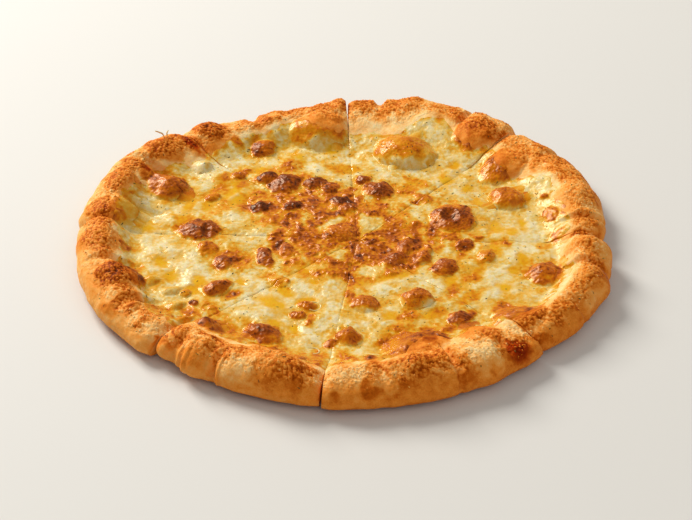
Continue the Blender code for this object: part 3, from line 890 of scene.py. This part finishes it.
bpy.ops.mesh.primitive_ico_sphere_add(subdivisions=1, radius=GRAIN_RADIUS)
grain = bpy.context.object
crumbs, ground_toast = strewn(
    "hard_cheese_crumbs", grain, crumb_places, CRUMB_COUNT, CRUMB_SIZES, CRUMB_SINK, CRUMB_LEAN
)
crumb_tone = np.repeat(draw.normal(*CRUMB_TONE, CRUMB_COUNT), len(ground_toast) // CRUMB_COUNT)
paint(crumbs, toast=np.clip(ground_toast + crumb_tone, 0.02, 0.8))
crumbs.data.materials.append(crust_finish)
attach(crumbs, "root")

# The dried herbs.
# Flakes of dried oregano and parsley, a millimetre or two long, sprinkled over the cheese and the rim and
# darkened by the oven. They are one piece.

HERB_COUNT = 600
HERB_SIZES = ((1.2, 3.0), (0.4, 0.9), (0.6, 1.2))
HERB_SINK = 0.04 * MILLIMETRE
HERB_LEAN = 0.12
FLAKE_RADIUS = 0.5 * MILLIMETRE
FLAKE_THICKNESS = 0.2 * MILLIMETRE
bpy.ops.mesh.primitive_cylinder_add(
    vertices=6, radius=FLAKE_RADIUS, depth=FLAKE_THICKNESS, end_fill_type="TRIFAN"
)
flake = bpy.context.object
bpy.ops.object.mode_set(mode="EDIT")
bpy.ops.mesh.select_all(action="SELECT")
bpy.ops.mesh.quads_convert_to_tris()
bpy.ops.object.mode_set(mode="OBJECT")
herbs, ground_toast = strewn(
    "dried_herb_flakes", flake, herb_places, HERB_COUNT, HERB_SIZES, HERB_SINK, HERB_LEAN
)
paint(herbs, leaf=np.repeat(draw.uniform(0, 1, HERB_COUNT), len(ground_toast) // HERB_COUNT))

# Dried oregano: dull olive green to brown, and nearly black where it has scorched.
DRIED_OREGANO = ((0.0, "#8A7A34"), (0.4, "#6A5A22"), (0.8, "#4A3814"), (1.0, "#2A1C0C"))
herb_finish, tree, shader = new_material("dried_oregano", Roughness=0.8, Specular_IOR_Level=0.2)
leaf = node(tree, "ShaderNodeAttribute", {"attribute_name": "leaf"}).outputs["Fac"]
tones = node(tree, "ShaderNodeValToRGB", stops=DRIED_OREGANO, _0=leaf).outputs["Color"]
tree.links.new(tones, shader.inputs["Base Color"])
herbs.data.materials.append(herb_finish)
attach(herbs, "root")

# The strings of cheese.
# Where cheese was pulled about as it melted, thin strings have set: two stand up from the rim at the back
# left, and two lie in curls on the cheese near the front. They are one piece.

# Each string's path: angle, radius and height above the surface, point by point.
STRINGS = (
    ((142.2, 196, -1), (142.4, 197, 3), (143.2, 198, 6), (144.2, 199, 8)),
    ((141.2, 196, -1), (141.0, 197, 3), (140.2, 198, 5)),
    ((246, 87, -1.0), (249, 84, -0.5), (252, 87, -0.4), (251, 92, -0.5), (248, 94, -1.0)),
    ((253, 137, -1.0), (255, 133, -0.4), (258, 134, -0.5), (258, 138, -0.4), (255, 139, -1.0)),
)
STRING_RADIUS = 0.6 * MILLIMETRE
END_THINNING = 0.7
surface = np.concatenate([place[0].reshape(-1, 3) for place in herb_places])
for path in STRINGS:
    curve = bpy.data.curves.new("cheese_string", "CURVE")
    curve.dimensions = "3D"
    curve.bevel_depth = STRING_RADIUS
    curve.bevel_resolution = 2
    curve.resolution_u = 6
    curve.use_fill_caps = True
    spline = curve.splines.new("BEZIER")
    spline.bezier_points.add(len(path) - 1)
    for knot, (angle, radius, lift) in zip(spline.bezier_points, path):
        x = (CROSSING[0] + radius * math.cos(math.radians(angle))) * MILLIMETRE
        y = (CROSSING[1] + radius * math.sin(math.radians(angle))) * MILLIMETRE
        beside = np.hypot(surface[:, 0] - x, surface[:, 1] - y)
        ground = surface[beside < beside.min() + MILLIMETRE, 2].max()
        knot.co = (x, y, ground + lift * MILLIMETRE)
        knot.handle_left_type = "AUTO"
        knot.handle_right_type = "AUTO"
    for end in (spline.bezier_points[0], spline.bezier_points[-1]):
        end.radius = END_THINNING
    string = bpy.data.objects.new("cheese_string", curve)
    bpy.context.collection.objects.link(string)
bpy.ops.object.select_all(action="DESELECT")
for string in [thing for thing in bpy.data.objects if thing.name.startswith("cheese_string")]:
    string.select_set(True)
    bpy.context.view_layer.objects.active = string
bpy.ops.object.convert(target="MESH")
bpy.ops.object.join()
strings = bpy.context.object
strings.name = "cheese_strings"
strings.data.shade_smooth()
count = len(strings.data.vertices)
paint(strings, toast=np.full(count, 0.08), oil=np.full(count, 0.0))
strings.data.materials.clear()
strings.data.materials.append(cheese_finish)
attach(strings, "root")

# The table, the light and the camera.
# A plain pale matt table. A large soft window stands behind and to the left, with a weak fill in front. The
# camera stands a bit over a metre away and looks down at the pizza at about 36 degrees.

bpy.ops.object.select_all(action="DESELECT")
bpy.ops.mesh.primitive_plane_add(size=6.0, location=(0, 0, -0.4 * MILLIMETRE))
floor = bpy.context.object
floor.name = "pale_table"
# Pale laminate: matt, so that it shows a soft shadow and no reflection.
table_finish, tree, shader = new_material("matt_pale_laminate", Roughness=0.7)
shader.inputs["Base Color"].default_value = linear("#D9D6D0")
floor.data.materials.append(table_finish)


def soft_light(name, place, aim, size, power, colour):
    """A large square light at a place, turned to its aim."""
    bpy.ops.object.light_add(type="AREA", location=place)
    lamp = bpy.context.object
    lamp.name = name
    lamp.data.size = size
    lamp.data.energy = power
    lamp.data.color = linear(colour)[:3]
    direction = [a - p for a, p in zip(aim, place)]
    turn = math.atan2(direction[1], direction[0]) - math.pi / 2
    tilt = math.atan2(math.hypot(direction[0], direction[1]), -direction[2])
    lamp.rotation_euler = (tilt, 0, turn)


soft_light("window", (-1.8, 2.0, 1.9), (0, 0, 0), 1.5, 138, "#FFFDF8")
soft_light("fill", (0.9, -1.2, 1.3), (0, 0, 0), 1.6, 6, "#FFFDF8")

world = bpy.data.worlds.new("studio")
world.use_nodes = True
world.node_tree.nodes["Background"].inputs["Color"].default_value = linear("#FFFDFA")
world.node_tree.nodes["Background"].inputs["Strength"].default_value = 0.38
bpy.context.scene.world = world

# The camera's distance is in metres, and its turns in radians.
CAMERA_AIM = (1.40, 4.68, 6.0)
CAMERA_DISTANCE = 1.3705
CAMERA_PITCH = math.radians(35.53)
CAMERA_DIP = 0.01098
CAMERA_YAW = 0.00124
SENSOR_WIDTH = 36.0
PHOTO_WIDTH_PX = 692
FOCAL_LENGTH_PX = 1800
bpy.ops.object.camera_add()
camera = bpy.context.object
camera.location = (
    CAMERA_AIM[0] * MILLIMETRE,
    CAMERA_AIM[1] * MILLIMETRE - CAMERA_DISTANCE * math.cos(CAMERA_PITCH),
    CAMERA_AIM[2] * MILLIMETRE + CAMERA_DISTANCE * math.sin(CAMERA_PITCH),
)
camera.rotation_euler = (math.pi / 2 - CAMERA_PITCH - CAMERA_DIP, 0, -CAMERA_YAW)
camera.data.sensor_width = SENSOR_WIDTH
camera.data.lens = SENSOR_WIDTH * FOCAL_LENGTH_PX / PHOTO_WIDTH_PX
bpy.context.scene.camera = camera
bpy.context.scene.view_settings.view_transform = "Standard"
